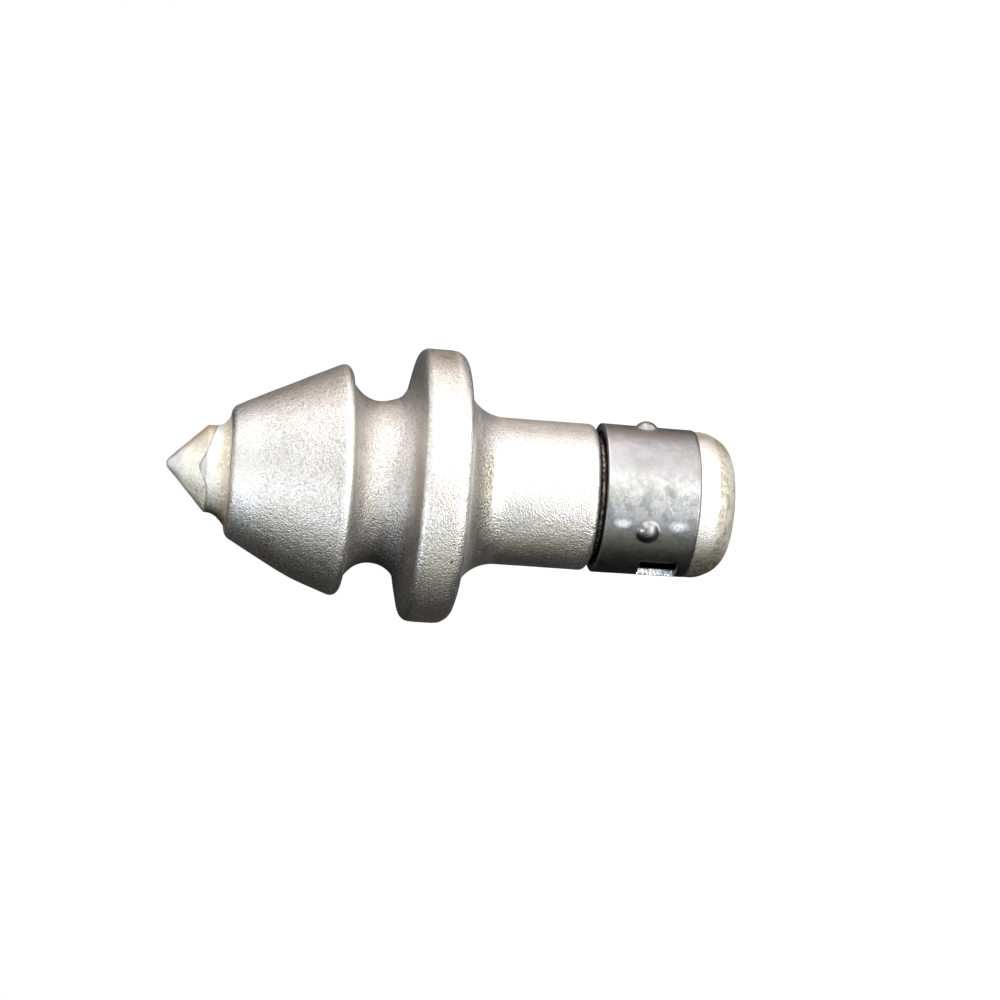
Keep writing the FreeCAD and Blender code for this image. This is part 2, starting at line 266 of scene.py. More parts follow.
def polar(angle, radius, height):
    """Points at polar angles round the tooth's axis."""
    return np.stack((radius * np.cos(angle), radius * np.sin(angle), height), axis=1)


# Tooth body

BODY_STEP = 0.62
BODY_AROUND = 288
UNEVEN_DEPTH = 0.03
RIPPLE_DEPTH = 0.02
NICK_DEPTH = 0.16
HEAD_BULGE = 0.5
HEAD_FLAT = 0.3
GROOVE_DENT = 0.4

# Rims that handling has brightened: radius, height, reach
WORN_RIMS = (
    (23.5, 79.7, 0.9),
    (27.4, 65.1, 0.8),
    (27.3, 56.9, 1.0),
    (12.3, 102.3, 0.8),
    (14.8, 29.2, 0.6),
)


def body_wear(points):
    """How much handling has brightened each point, strongest along the rims."""
    radius = np.hypot(points[:, 0], points[:, 1])
    worn = np.zeros(len(points))
    for rim_radius, rim_height, reach in WORN_RIMS:
        gap = np.hypot(radius - rim_radius, points[:, 2] - rim_height)
        worn = np.maximum(worn, np.exp(-(gap / reach) ** 2))
    return worn


def forged_grain(points):
    """Forging unevenness, and nicks where the rims are worn."""
    uneven = UNEVEN_DEPTH * grain(points, 6.0, 1) + RIPPLE_DEPTH * grain(points, 2.0, 2)
    nicks = -NICK_DEPTH * body_wear(points) * smooth_step(grain(points, 2.3, 4), 0.45, 0.75)
    return uneven + nicks


def body_move(angle, radius, height):
    """Shift of each point of the body along its normal; none in the socket or under the end.

    The head bulges low on its underside and is flatter on top, the collar's edges are rolled,
    and the groove's wall by the collar is dented on top.
    """
    topside = ((1 + np.cos(angle)) / 2) ** 2
    underside = ((1 - np.cos(angle)) / 2) ** 2
    bulge = HEAD_BULGE * underside * hump(height, 88.5, 7.5) - HEAD_FLAT * topside * hump(height, 93.0, 7.5)
    rolled_back = (0.35 * underside + 0.22 * topside) * hump(height, 57.0, 1.6)
    rolled_front = 0.1 * underside * hump(height, 65.0, 1.4)
    on_collar = radius > 24
    in_groove = radius < 22
    rolled = -(rolled_back + rolled_front) * on_collar
    dented = GROOVE_DENT * topside ** 2 * hump(height, 68.7, 1.3) * in_groove
    outside = radius > SOCKET_RADIUS + 0.2
    shift = forged_grain(polar(angle, radius, height)) + bulge + rolled - dented
    shift = shift * outside * smooth_step(height, 0.0, 1.5)
    return np.where(radius > COLLAR_RADIUS - 0.1, np.minimum(shift, 0), shift)


def body_settle(points):
    """Slants the head's back and the collar's front, which aren't quite square to the axis."""
    radius = np.hypot(points[:, 0], points[:, 1])
    height = points[:, 2]
    up = points[:, 0] / np.maximum(radius, 0.1)
    head = smooth_step(radius, 17.5, 20.5) * band(height, (77.0, 78.5), (80.5, 85.0))
    collar = smooth_step(radius, 18.5, 21.5) * band(height, (62.5, 65.0), (69.0, 71.0))
    settled = points.copy()
    settled[:, 2] += head * (0.2 + 0.1 * up ** 2 + 0.08 * up) + collar * (0.05 - 0.3 * up)
    return settled


def make_tooth_body():
    outline = walk(BODY_CORNERS, BODY_STEP)
    return lathe("steel_body", outline, BODY_AROUND, body_move, body_settle, {"wear": body_wear})


# Hard-metal point

TIP_STEP = 0.3
TIP_AROUND = 160
TIP_BASE_RADIUS = 8.0
TIP_BASE_BEVEL = 0.9
TIP_SHOULDER_ROUND = 0.7
TIP_SIDESTEP = 0.35
TIP_LEAN = 0.43


def tip_outline():
    """The stub and the cone, taken past the point to its mirror image so that the point is a true round."""
    corners = (
        (0.0, TIP_BASE, 0.0),
        (TIP_BASE_RADIUS, TIP_BASE, 0.0),
        (TIP_RADIUS, TIP_BASE + TIP_BASE_BEVEL, 0.0),
        (TIP_RADIUS, TIP_SHOULDER, TIP_SHOULDER_ROUND),
        (0.0, CONE_TOP, POINT_ROUND),
        (-TIP_RADIUS, TIP_SHOULDER, 0.0),
    )
    points = walk(corners, TIP_STEP)
    side = points[points[:, 0] > 0.05]
    return np.vstack(((0.0, TIP_BASE), side, (0.0, TIP_TOP)))


def tip_move(angle, radius, height):
    """Flux left on the cone in soft folds, thinning to the bare point."""
    points = polar(angle, radius, height)
    folds = 0.05 * grain(points, 1.8, 5) + 0.035 * grain(points, 0.8, 6)
    return folds * smooth_step(TIP_TOP - height, 2.0, 4.0) * smooth_step(height, 103.0, 105.0)


def tip_settle(points):
    """The tip sits off centre, towards the picture's top, and its point leans further that way."""
    height = points[:, 2]
    rise = TIP_SIDESTEP * smooth_step(height, 102.5, 105.0)
    rise += TIP_LEAN * smooth_step(height, 107.0, 114.0)
    settled = points.copy()
    settled[:, 0] += rise
    return settled


def make_tip():
    return lathe("hard_metal_point", tip_outline(), TIP_AROUND, tip_move, tip_settle)


# Braze bead

BEAD_AROUND = 320
BEAD_FACE_ROWS = 26
BEAD_BOTTOM = TIP_BASE + 1.2
BEAD_INNER_RADIUS = 8.5
BEAD_OUTER_RADIUS = 9.08
BEAD_SEAT = HEAD_FRONT - 0.02
BEAD_FOOT = HEAD_FRONT + 0.03
BEAD_LOWEST_TOP = 105.3
BEAD_CLIMB = 1.9
TONGUE_CLIMB = 1.7
TONGUE_TURN = -1.53
TONGUE_REACH = 0.33


def bead_top(angle):
    """Height of the bead's upper edge: low on top, high below, with a tongue towards the camera."""
    turn = (angle + math.pi) % (2 * math.pi) - math.pi
    climb = BEAD_CLIMB * smooth_step(np.abs(turn), 0.0, 1.2)
    return BEAD_LOWEST_TOP + climb + TONGUE_CLIMB * hump(turn, TONGUE_TURN, TONGUE_REACH)


def tip_skin(height):
    """Radius of the point's surface."""
    return np.minimum(TIP_RADIUS, (CONE_TOP - height) * CONE_SPREAD)


def bead_rows(angle):
    """Radius, height and place on the face (0 foot, 1 upper edge, -1 hidden) of each row of the bead."""
    full = np.ones(len(angle))
    top = bead_top(angle)
    rows = [(BEAD_INNER_RADIUS * full, BEAD_BOTTOM, -1), (BEAD_OUTER_RADIUS * full, BEAD_BOTTOM, -1)]
    rows += [(BEAD_OUTER_RADIUS * full, height, -1) for height in np.linspace(96, BEAD_SEAT, 8)]
    rows += [(radius * full, BEAD_SEAT, -1) for radius in np.linspace(9.5, BEAD_FOOT_RADIUS - 0.2, 4)]
    for climb in np.linspace(0, 1, BEAD_FACE_ROWS):
        height = BEAD_FOOT + (top - BEAD_FOOT) * climb
        fillet = (BEAD_FOOT_RADIUS - TIP_RADIUS - BEAD_SKIN) * (1 - climb) ** 2.2
        rows.append((tip_skin(height) + BEAD_SKIN + fillet, height, climb))
    rows += [(tip_skin(top) - 0.3, top - 0.05, -1)]
    for share in (0.66, 0.33, 0.0):
        rows.append((BEAD_INNER_RADIUS * full - 0.6 * share, top * share + 97 * (1 - share), -1))
    return rows


def make_bead():
    angle = np.arange(BEAD_AROUND) * 2 * math.pi / BEAD_AROUND
    full = np.ones(BEAD_AROUND)
    points, places = [], []
    for radius, height, place in bead_rows(angle):
        ring = polar(angle, radius, height * full)
        if place >= 0:
            crinkle = 0.07 * grain(ring, 0.75, 8) * (1 - place) ** 0.5 + 0.04 * grain(ring, 1.6, 7)
            ring = polar(angle, radius + crinkle * min(1.0, place * 8), height * full)
        points.append(ring)
        places.extend([place] * BEAD_AROUND)
    faces = []
    for row in range(len(points)):
        low = row * BEAD_AROUND
        high = (row + 1) % len(points) * BEAD_AROUND
        for k in range(BEAD_AROUND):
            after = (k + 1) % BEAD_AROUND
            faces.append((low + k, low + after, high + after, high + k))
    return new_piece("braze_bead", tip_settle(np.vstack(points)), faces, {"climb": places})


# Sleeve: a flat strip with rounded edges and a window, bent round the neck

STRIP_LENGTH = 2 * math.pi * SLEEVE_RADIUS - SLIT_WIDTH
STRIP_STEP = 0.32
TEAR_DEPTH = 0.055
SHEARED_EDGE = 0.35


def grid_lines(stops):
    """Positions that meet every stop; only long gaps are divided."""
    lines = [stops[0]]
    for start, end in zip(stops, stops[1:]):
        count = round((end - start) / STRIP_STEP) if end - start > 2 * STRIP_STEP else 1
        lines.extend(start + (end - start) * k / count for k in range(1, count))
        lines.append(end)
    return lines


def strip_place(turn):
    """Distance of a polar angle from the slit's edge, along the strip."""
    return (turn - SLIT_TURN) % (2 * math.pi) * SLEEVE_RADIUS - SLIT_WIDTH / 2


def dimple_rise(along, across):
    """How far the pressed dimples stand out of the strip: ball caps with a soft foot."""
    rise = np.zeros(len(along))
    for turn, level in DIMPLES:
        gap = np.hypot(along - strip_place(math.radians(turn)), across - level)
        cap = np.sqrt(np.maximum(DIMPLE_BALL ** 2 - gap ** 2, 0)) - DIMPLE_BALL + DIMPLE_HEIGHT
        rise = np.maximum(rise, (cap + np.sqrt(cap ** 2 + 0.02)) / 2)
    return rise


def window_slip(along, across):
    """The punched window leans a little, so its two long sides start at different heights."""
    gap = along - strip_place(WINDOW_TURN)
    middle = WINDOW_MARGIN + WINDOW_LENGTH / 2
    near = 1 - smooth_step(np.abs(gap), WINDOW_WIDTH / 2 + 0.3, WINDOW_WIDTH / 2 + 3)
    beside = 1 - smooth_step(np.abs(across - middle), WINDOW_LENGTH / 2 + 0.3, WINDOW_LENGTH / 2 + 1.6)
    return WINDOW_SKEW * np.clip(gap / (WINDOW_WIDTH / 2), -1, 1) * near * beside


def strip_grid():
    """Grid lines of the strip and the index box of its window."""
    middle = strip_place(WINDOW_TURN)
    corner = STRIP_CORNER_ROUND
    reach = STRIP_CORNER_ROUND + STRIP_EDGE_ROUND
    left = middle - WINDOW_WIDTH / 2 - STRIP_EDGE_ROUND
    right = middle + WINDOW_WIDTH / 2 + STRIP_EDGE_ROUND
    low = WINDOW_MARGIN - STRIP_EDGE_ROUND
    high = WINDOW_MARGIN + WINDOW_LENGTH + STRIP_EDGE_ROUND
    first, last = STRIP_EDGE_ROUND, STRIP_LENGTH - STRIP_EDGE_ROUND
    foot, top = STRIP_EDGE_ROUND, SLEEVE_LENGTH - STRIP_EDGE_ROUND
    along_stops = (first, first + corner, left, left + reach, right - reach, right, last - corner, last)
    across_stops = (foot, foot + corner, low, low + reach, high - reach, high, top - corner, top)
    along = grid_lines(along_stops)
    across = grid_lines(across_stops)
    window = (along.index(left), across.index(low), along.index(right), across.index(high))
    return along, across, window


def box_loop(i0, j0, i1, j1):
    """Grid corners round an index box, anticlockwise."""
    loop = [(i, j0) for i in range(i0, i1)] + [(i1, j) for j in range(j0, j1)]
    return loop + [(i, j1) for i in range(i1, i0, -1)] + [(i0, j) for j in range(j1, j0, -1)]


def rounded_grid(along, across, strip, window):
    """Flat place of every grid corner; the corners of strip and window are pulled on to their rounds."""
    places = {(i, j): (x, y) for i, x in enumerate(along) for j, y in enumerate(across)}
    pull = 1 - math.cos(math.pi / 4)
    for box, amount in ((strip, STRIP_CORNER_ROUND), (window, STRIP_CORNER_ROUND + STRIP_EDGE_ROUND)):
        for i, side in ((box[0], 1), (box[2], -1)):
            for j, rise in ((box[1], 1), (box[3], -1)):
                x, y = places[i, j]
                places[i, j] = (x + side * amount * pull, y + rise * amount * pull)
    return places


def edge_rows():
    """(outward shift, depth) from the outer face to the inner face over a rounded edge."""
    bends = [math.radians(angle) for angle in (30, 60, 90)]
    size = STRIP_EDGE_ROUND
    rows = [(size * math.sin(bend), size * (1 - math.cos(bend))) for bend in bends]
    rows += [(size, size + (SLEEVE_WALL - 2 * size) * k / 3) for k in (1, 2)]
    rows += [(shift, SLEEVE_WALL - depth) for shift, depth in reversed(rows[:3])]
    return rows


class FlatStrip:
    """The strip before it is bent: each vertex has a place, a depth and how freshly it was cut."""

    def __init__(self):
        self.along, self.across, self.window = strip_grid()
        self.outside = (0, 0, len(self.along) - 1, len(self.across) - 1)
        self.flat = rounded_grid(self.along, self.across, self.outside, self.window)
        self.places = []
        self.cut = []
        self.faces = []

    def vertex(self, place, depth, freshness=0.0):
        self.places.append((place[0], place[1], depth))
        self.cut.append(freshness)
        return len(self.places) - 1

    def add_side(self, depth):
        """One flat side with the window left out; gives the vertex of each grid corner."""
        i0, j0, i1, j1 = self.window
        ids = {}
        for (i, j), place in self.flat.items():
            in_window = i0 < i < i1 and j0 < j < j1
            if not in_window:
                ids[i, j] = self.vertex(place, depth)
        for i in range(self.outside[2]):
            for j in range(self.outside[3]):
                if i0 <= i < i1 and j0 <= j < j1:
                    continue
                quad = [ids[corner] for corner in ((i, j), (i + 1, j), (i + 1, j + 1), (i, j + 1))]
                self.faces.append(quad if depth == 0 else quad[::-1])
        return ids

    def add_edge(self, loop, outer, inner, torn):
        """The rounded edge between the two sides, round the strip or round its torn window."""
        rim = np.array([self.flat[corner] for corner in loop])
        ahead = np.roll(rim, -1, axis=0) - np.roll(rim, 1, axis=0)
        outward = np.stack((ahead[:, 1], -ahead[:, 0]), axis=1) / np.linalg.norm(ahead, axis=1)[:, None]
        tears = grain(np.hstack((rim, np.full((len(rim), 1), 3.0))), 0.55, 11) * TEAR_DEPTH * torn
        freshness = outward[:, 0] ** 2 if torn else np.full(len(rim), SHEARED_EDGE)
        rows = [[outer[corner] for corner in loop]]
        for shift, depth in edge_rows():
            spots = rim + outward * (shift + tears[:, None])
            rows.append([self.vertex(spot, depth, fresh) for spot, fresh in zip(spots, freshness)])
        rows.append([inner[corner] for corner in loop])
        for upper, lower in zip(rows, rows[1:]):
            for k in range(len(loop)):
                after = (k + 1) % len(loop)
                self.faces.append((upper[k], lower[k], lower[after], upper[after]))


def bent(places):
    """The strip's points bent round the neck, with the dimples pressed out and a slight flare."""
    x, y, depth = np.array(places).T
    angle = SLIT_TURN + (x + SLIT_WIDTH / 2) / SLEEVE_RADIUS
    flare = SLEEVE_FLARE * (2 * y / SLEEVE_LENGTH - 1)
    radius = SLEEVE_RADIUS - depth + flare + dimple_rise(x, y) * (1 - 0.35 * depth / SLEEVE_WALL)
    height = SLEEVE_BOTTOM + y + window_slip(x, y)
    points = polar(angle, radius, height)
    uneven = np.where(depth < 0.1, 0.02 * grain(points, 4.0, 9), 0.0)
    return polar(angle, radius + uneven, height) + np.array((SLEEVE_SIDESTEP, 0.0, 0.0))


def make_sleeve():
    strip = FlatStrip()
    outer = strip.add_side(0.0)
    inner = strip.add_side(SLEEVE_WALL)
    strip.add_edge(box_loop(*strip.outside), outer, inner, torn=False)
    strip.add_edge(box_loop(*strip.window)[::-1], outer, inner, torn=True)
    return new_piece("spring_sleeve", bent(strip.places), strip.faces, {"cut": strip.cut})


# Materials

class Shader:
    """One node material. Its textures read the piece's own coordinates, in millimetres."""

    def __init__(self, name):
        self.material = bpy.data.materials.new(name)
        self.material.use_nodes = True
        self.tree = self.material.node_tree
        self.tree.nodes.clear()
        own = self.node("ShaderNodeTexCoord", {}).outputs["Object"]
        self.place = self.vector("MULTIPLY", own, (1 / MM, 1 / MM, 1 / MM))
        parts = self.node("ShaderNodeSeparateXYZ", {"Vector": self.place})
        self.x, self.y, self.height = parts.outputs

    def node(self, kind, inputs, **settings):
        made = self.tree.nodes.new(kind)
        for key, value in settings.items():
            setattr(made, key, value)
        for key, value in inputs.items():
            if isinstance(value, bpy.types.NodeSocket):
                self.tree.links.new(value, made.inputs[key])
            else:
                made.inputs[key].default_value = value
        return made

    def value(self, name):
        """An extra number of the mesh."""
        return self.node("ShaderNodeAttribute", {}, attribute_name=name).outputs["Fac"]

    def vector(self, operation, one, two):
        return self.node("ShaderNodeVectorMath", {0: one, 1: two}, operation=operation).outputs["Vector"]

    def calc(self, operation, one, two=0.0):
        return self.node("ShaderNodeMath", {0: one, 1: two}, operation=operation).outputs[0]

    def plus(self, one, two):
        return self.calc("ADD", one, two)

    def minus(self, one, two):
        return self.calc("SUBTRACT", one, two)

    def times(self, one, two):
        return self.calc("MULTIPLY", one, two)

    def distance(self, one, two):
        return self.node("ShaderNodeVectorMath", {0: one, 1: two}, operation="DISTANCE").outputs["Value"]

    def stretched(self, x, y, z):
        """The piece's own place, scaled along its axes."""
        return self.vector("MULTIPLY", self.place, (x, y, z))

    def noise(self, size, detail=2.0, roughness=0.5, at=None, warp=0.0):
        inputs = {"Vector": at or self.place, "Scale": 1 / size, "Detail": detail}
        inputs.update({"Roughness": roughness, "Distortion": warp})
        return self.node("ShaderNodeTexNoise", inputs).outputs["Fac"]

    def cells(self, size, softness=0.6, at=None):
        inputs = {"Vector": at or self.place, "Scale": 1 / size, "Smoothness": softness}
        return self.node("ShaderNodeTexVoronoi", inputs, feature="SMOOTH_F1").outputs["Distance"]

    def fade(self, value, low, high, start=0.0, end=1.0):
        """From start to end, smoothly, while the value goes from low to high."""
        inputs = {"Value": value, "From Min": low, "From Max": high, "To Min": start, "To Max": end}
        return self.node("ShaderNodeMapRange", inputs, interpolation_type="SMOOTHSTEP").outputs["Result"]

    def mix(self, amount, one, two):
        """Mixes two colours."""
        made = self.node("ShaderNodeMix", {0: amount}, data_type="RGBA")
        for index, value in ((6, one), (7, two)):
            if isinstance(value, bpy.types.NodeSocket):
                self.tree.links.new(value, made.inputs[index])
            else:
                made.inputs[index].default_value = (*value, 1.0)
        return made.outputs[2]

    def dab(self, tone, colour, *masks):
        """The tone with a colour laid over it, as strong as its masks multiplied."""
        amount = masks[0]
        for mask in masks[1:]:
            amount = self.times(amount, mask)
        return self.mix(amount, tone, colour)

    def blend(self, amount, one, two):
        """Mixes two numbers."""
        return self.node("ShaderNodeMix", {0: amount, 2: one, 3: two}, data_type="FLOAT").outputs[0]

    def between(self, value, low, high, soft):
        """1 while a value lies between two limits, faded over soft."""
        rising = self.fade(value, low - soft, low + soft)
        falling = self.fade(value, high - soft, high + soft, 1.0, 0.0)
        return self.times(rising, falling)

    def near(self, place, spot, reach, soft):
        """1 within reach of a spot in mm, faded to 0 over soft."""
        return self.fade(self.distance(place, spot), reach, reach + soft, 1.0, 0.0)

    def upward(self):
        """1 on the side that is up in the picture, -1 on its underside."""
        radius = self.calc("SQRT", self.plus(self.times(self.x, self.x), self.times(self.y, self.y)))
        return self.calc("DIVIDE", self.x, self.calc("MAXIMUM", radius, 0.1))

    def frayed(self, size, amount):
        """The piece's own place, shaken so that a mark's edge is ragged."""
        inputs = {"Vector": self.place, "Scale": 1 / size, "Detail": 2.0}
        shake = self.node("ShaderNodeTexNoise", inputs).outputs["Color"]
        centred = self.vector("SUBTRACT", shake, (0.5, 0.5, 0.5))
        return self.vector("ADD", self.place, self.vector("MULTIPLY", centred, (amount, amount, amount)))

    def stroke(self, place, start, end, width):
        """1 along a straight scratch between two spots."""
        start, end = Vector(start), Vector(end)
        half = (end - start).length / 2
        way = (end - start).normalized()
        offset = self.vector("SUBTRACT", place, tuple((start + end) / 2))
        along = self.node("ShaderNodeVectorMath", {0: offset, 1: tuple(way)}, operation="DOT_PRODUCT")
        held = self.calc("MAXIMUM", self.calc("MINIMUM", along.outputs["Value"], half), -half)
        nearest = self.node("ShaderNodeVectorMath", {0: tuple(way), 3: held}, operation="SCALE")
        gap = self.distance(offset, nearest.outputs["Vector"])
        return self.fade(gap, width * 0.3, width, 1.0, 0.0)

    def bump(self, height, depth, under=None):
        """Bump of a 0 to 1 height; depth is in millimetres."""
        inputs = {"Height": height, "Strength": 1.0, "Distance": depth * MM}
        if under is not None:
            inputs["Normal"] = under
        return self.node("ShaderNodeBump", inputs).outputs["Normal"]

    def finish(self, colour, roughness, metallic, normal):
        inputs = {"Base Color": colour, "Roughness": roughness, "Metallic": metallic, "Normal": normal}
        surface = self.node("ShaderNodeBsdfPrincipled", inputs).outputs["BSDF"]
        self.node("ShaderNodeOutputMaterial", {"Surface": surface})
        return self.material


# Forged steel. The pairs are height ranges of the body where the tone changes, mostly painted light and
# shade.

HOLLOW = (50.7, 55.8)
HOLLOW_SIDES = (48.0, 55.4)
HOLLOW_CORNER = (53.4, 56.0)
COLLAR_ROOT = (55.0, 57.4)
COLLAR_BACK_RIM = (55.6, 59.0)
COLLAR_SIDE = (55.5, 65.0)
COLLAR_LINE = (64.2, 64.4)
COLLAR_FRONT_EDGE = (65.5, 66.9)
SHANK_SIDE = (29.0, 50.0)
SHANK_LIT = (29.5, 50.2)
SHANK_DIM = (42.0, 50.3)
SHANK_TOP_EDGE = (28.0, 50.0)
GROOVE = (66.3, 78.6)
WALL = (66.8, 68.4)
WALL_PORES = (65.8, 69.2)
WALL_HIGHLIGHT_BAND = (67.2, 69.2)
GROOVE_GLINT = (71.0, 72.6)
HEAD_BACK_RIM = (79.2, 81.3)
HEAD_FRONT_END = (97.0, 103.5)
# Heights where the painted shadow inside the sleeve begins
SLEEVE_SHADOW_EDGE = (27.9, 27.5)
KNOB_END_EDGE = 4.8
# Lean of the edge of the painted shade in the groove
SHADE_EDGE_SLOPE = 0.175

STEEL_PALE = (0.60, 0.575, 0.545)
STEEL_BROWN = (0.53, 0.495, 0.455)
STEEL_VALLEY = (0.20, 0.18, 0.16)
STEEL_WORN = (0.78, 0.76, 0.73)
HOLLOW_BROWN_SHADE = (0.19, 0.175, 0.14)
HOLLOW_PALE = (0.40, 0.38, 0.33)
ROOT_PAINTED_LIGHT = (0.88, 0.86, 0.82)
SIDES_PAINTED_LIGHT = (0.88, 0.85, 0.80)
CORNER_PAINTED_LIGHT = (0.95, 0.92, 0.87)
UNDERSIDE_PAINTED_LIGHT = (0.82, 0.775, 0.71)
LIT_SIDE_PAINTED_SHADE = (0.50, 0.505, 0.51)
SHANK_PAINTED_SHADE = (0.36, 0.36, 0.35)
TOP_EDGE_PAINTED_LIGHT = (0.92, 0.88, 0.84)
BACK_RIM_PAINTED_LIGHT = (0.90, 0.86, 0.80)
HEAD_RIM_PAINTED_HIGHLIGHT = (0.74, 0.72, 0.69)
HEAD_FRONT_PAINTED_LIGHT = (0.76, 0.74, 0.72)
PAINTED_HIGHLIGHT_WHITE = (0.86, 0.86, 0.88)
EDGE_PAINTED_SHADE = (0.28, 0.245, 0.21)
WALL_PAINTED_LIGHT = (0.82, 0.79, 0.75)
PORE_BROWN = (0.24, 0.215, 0.19)
# Painted shade in the groove
GROOVE_PAINTED_SHADE = (0.18, 0.18, 0.19)
SCALE_DARK = (0.08, 0.065, 0.055)
SCALE_COPPER = (0.42, 0.33, 0.27)
# Painted black shadow inside the sleeve
SLEEVE_SHADOW_BLACK = (0.012, 0.011, 0.01)
KNOB_GREY = (0.60, 0.59, 0.56)
KNOB_END_DARK = (0.32, 0.285, 0.22)
KNOB_END_TAN = (0.56, 0.52, 0.44)
KNOB_RIM_PAINTED_LIGHT = (0.92, 0.86, 0.75)
KNOB_UNDERSIDE_SHADE_DARK = (0.10, 0.08, 0.05)
KNOB_UNDERSIDE_SHADE_TAN = (0.32, 0.27, 0.185)
SPOT_TAN = (0.42, 0.31, 0.17)
SCRATCH_PALE = (0.85, 0.82, 0.76)
CREASE_PAINTED_SHADE = (0.25, 0.24, 0.24)
PIT_BLACK = (0.08, 0.07, 0.06)

# Marks, placed in millimetres: strokes are start, end, width; spots are place, reach, softness
STEEL_SCRATCHES = (
    ((-10.09, -12.5, 97.68), (-11.56, -12.42, 95.98), 0.24),
    ((-19.2, -4.9, 90.9), (-19.6, -4.7, 89.9), 0.30),
    ((14.2, -11.4, 54.3), (13.6, -12.3, 53.5), 0.34),
    ((-12.2, -10.9, 52.2), (-12.8, -10.1, 51.4), 0.26),
)
HEAD_CREASE = ((-4.1, -22.9, 81.7), (-9.4, -21.5, 81.2), 0.4)
STEEL_PIT = ((-14.66, -23.67, 58.9), 0.15, 0.3)
TAN_SPOTS = (
    ((25.96, -10.1, 61.2), 0.5, 1.8),
    ((13.9, -5.7, 7.7), 0.6, 2.5),
    ((11.6, -6.0, 3.0), 0.9, 2.4),
)

STEEL_RELIEF = 0.27
SCRATCH_DEPTH = 0.08
CREASE_DEPTH = 0.05


def hollow_tone(s, tone, grit):
    """The hollow between shank and collar: brown towards the camera, partly its own tint and partly painted
    shade, with painted light at its sides and by the collar.
    """
    aside = s.calc("ABSOLUTE", s.x)
    # Brown in the hollow: partly its own tint, partly painted shade cast by the collar.
    hollow = s.times(s.between(s.height, *HOLLOW, 0.25), s.fade(s.height, 51.2, 55.0, 0.95, 0.45))
    specks = s.mix(s.fade(grit, 0.42, 0.58), HOLLOW_BROWN_SHADE, HOLLOW_PALE)
    tone = s.dab(tone, specks, hollow, s.fade(aside, 5.0, 11.0, 1.0, 0.2))
    # Painted light: the collar's root, the hollow's upper and lower sides and its corner by the collar are
    # lightened where the collar shades them.
    root = s.between(s.height, *COLLAR_ROOT, 0.4)
    tone = s.dab(tone, ROOT_PAINTED_LIGHT, root, s.fade(aside, 2.0, 10.0, 0.2, 0.9))
    sides = s.between(s.height, *HOLLOW_SIDES, 1.0)
    tone = s.dab(tone, SIDES_PAINTED_LIGHT, sides, s.fade(aside, 11.0, 14.5), 0.5)
    corner = s.between(s.height, *HOLLOW_CORNER, 0.5)
    return s.dab(tone, CORNER_PAINTED_LIGHT, corner, s.fade(aside, 8.0, 12.0), 0.7)


def head_tone(s, tone):
    """A painted highlight on the back rim, mostly on the underside, and painted light on the front end."""
    # Painted highlight along the head's back rim.
    back_rim = s.between(s.height, *HEAD_BACK_RIM, 0.4)
    tone = s.dab(tone, HEAD_RIM_PAINTED_HIGHLIGHT, back_rim, s.fade(s.x, 6.0, -8.0, 0.1, 0.6))
    # Painted light on the head's front end.
    front_end = s.between(s.height, *HEAD_FRONT_END, 1.5)
    return s.dab(tone, HEAD_FRONT_PAINTED_LIGHT, front_end, 0.35)


def shank_and_collar_tone(s, tone):
    """Painted light on the undersides, the shank's upper edges and the collar's back rim, and painted shade
    on the shank's lit side towards the camera and by the hollow.
    """
    # Painted light on the undersides of collar and shank.
    low_collar = s.times(s.between(s.height, *COLLAR_SIDE, 0.5), s.fade(s.x, -9.0, -17.0))
    low_shank = s.times(s.between(s.height, *SHANK_SIDE, 0.8), s.fade(s.x, -5.0, -9.0))
    tone = s.dab(tone, UNDERSIDE_PAINTED_LIGHT, s.plus(low_collar, low_shank), 0.35)
    # Painted shade: the shank's lit upper side is greyed to hold its highlight down.
    lit = s.times(s.between(s.height, *SHANK_LIT, 0.5), s.between(s.x, -4.0, 12.0, 2.0))
    tone = s.dab(tone, LIT_SIDE_PAINTED_SHADE, lit, 0.35)
    # Painted shade on the shank's lower camera side next to the hollow.
    dim = s.times(s.between(s.height, *SHANK_DIM, 1.5), s.between(s.x, -7.5, -1.0, 1.2))
    tone = s.dab(tone, SHANK_PAINTED_SHADE, dim, 0.35)
    # Painted light along the shank's upper edge.
    top_edge = s.times(s.between(s.height, *SHANK_TOP_EDGE, 1.5), s.fade(s.upward(), 0.84, 0.98))
    tone = s.dab(tone, TOP_EDGE_PAINTED_LIGHT, top_edge, 0.6)
    # Painted light on the top of the collar's back rim.
    back_rim = s.times(s.between(s.height, *COLLAR_BACK_RIM, 0.6), s.fade(s.x, 17.0, 22.0))
    return s.dab(tone, BACK_RIM_PAINTED_LIGHT, back_rim, 0.6)


